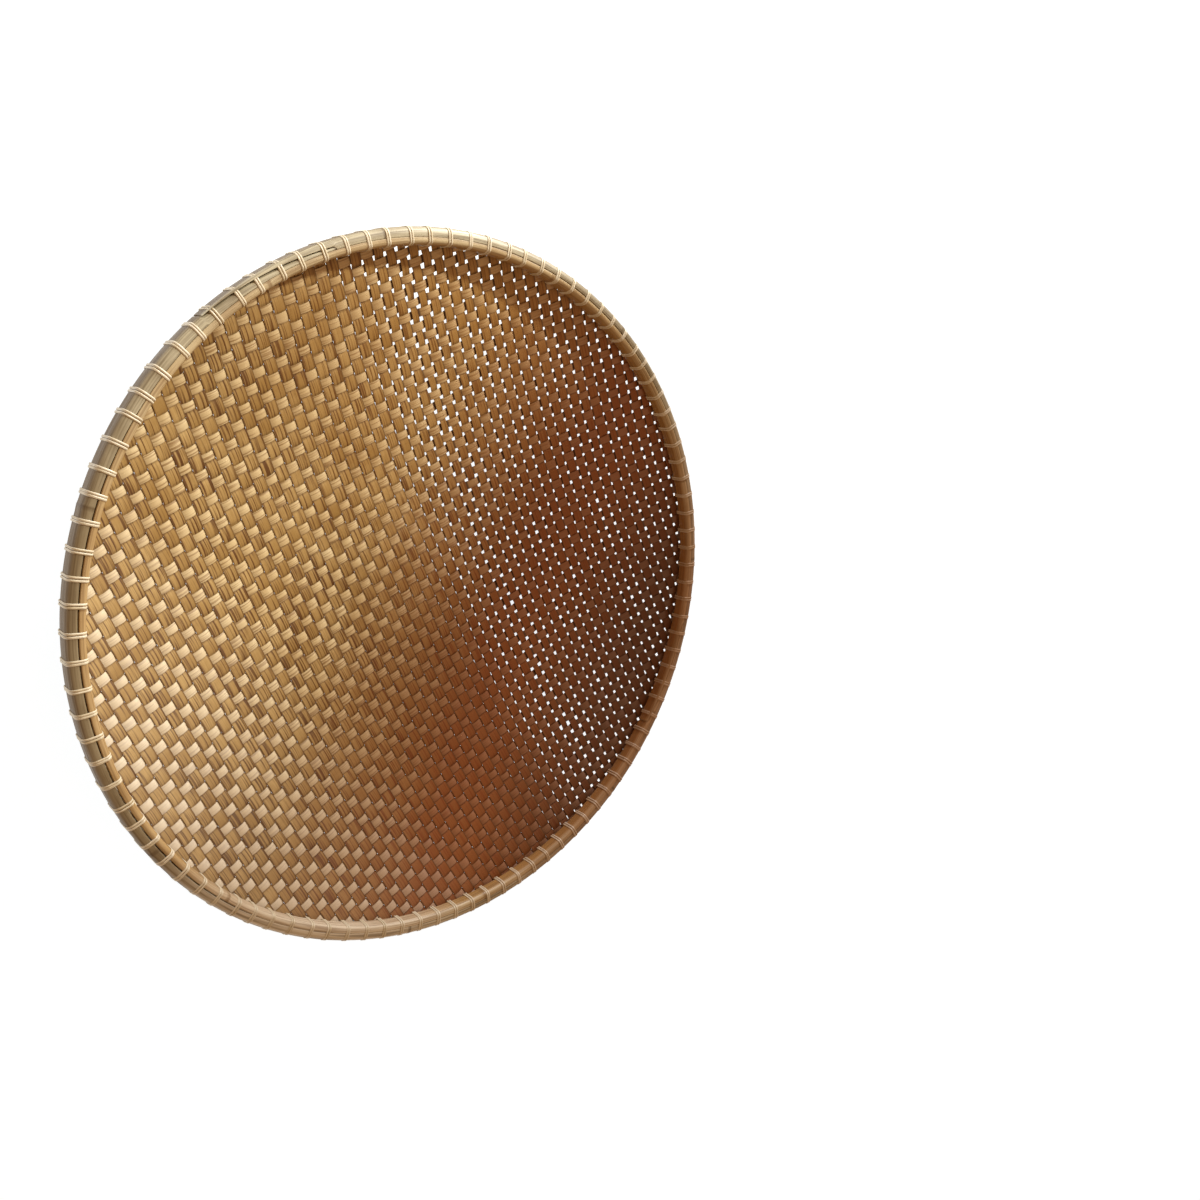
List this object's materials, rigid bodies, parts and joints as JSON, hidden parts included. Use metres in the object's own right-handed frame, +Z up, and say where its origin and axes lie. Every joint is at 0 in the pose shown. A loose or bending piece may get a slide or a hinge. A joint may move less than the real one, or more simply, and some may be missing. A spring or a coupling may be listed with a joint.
{
  "type": "winnowing basket",
  "caption": "Shallow round winnowing basket: a plain-woven split bamboo bowl held between two lapped bamboo hoops and lashed with pairs of thin cane.",
  "frame": {"origin": "on the ground under the basket's axis, at the bottom of its flat base", "axes": "+Z up along the bowl's axis, out of its mouth; the mat's strips run along X and Y"},
  "size_m": [0.6014, 0.6014, 0.0648],
  "materials": {
    "split_bamboo": "aged split bamboo strips, satin, honey to red brown",
    "hoop_bamboo": "weathered bamboo strip, satin, grey tan",
    "rattan_peel": "split cane, smooth satin, pale cream"
  },
  "bodies": {
    "root": {"woven_mat": "split_bamboo", "outer_hoop": "hoop_bamboo", "inner_hoop": "hoop_bamboo", "binding_cane_01": "rattan_peel", "binding_cane_02": "rattan_peel", "binding_cane_03": "rattan_peel", "binding_cane_04": "rattan_peel", "binding_cane_05": "rattan_peel", "binding_cane_06": "rattan_peel", "binding_cane_07": "rattan_peel", "binding_cane_08": "rattan_peel", "binding_cane_09": "rattan_peel", "binding_cane_10": "rattan_peel", "binding_cane_11": "rattan_peel", "binding_cane_12": "rattan_peel", "binding_cane_13": "rattan_peel", "binding_cane_14": "rattan_peel", "binding_cane_15": "rattan_peel", "binding_cane_16": "rattan_peel", "binding_cane_17": "rattan_peel", "binding_cane_18": "rattan_peel", "binding_cane_19": "rattan_peel", "binding_cane_20": "rattan_peel"}
  },
  "joints": []
}
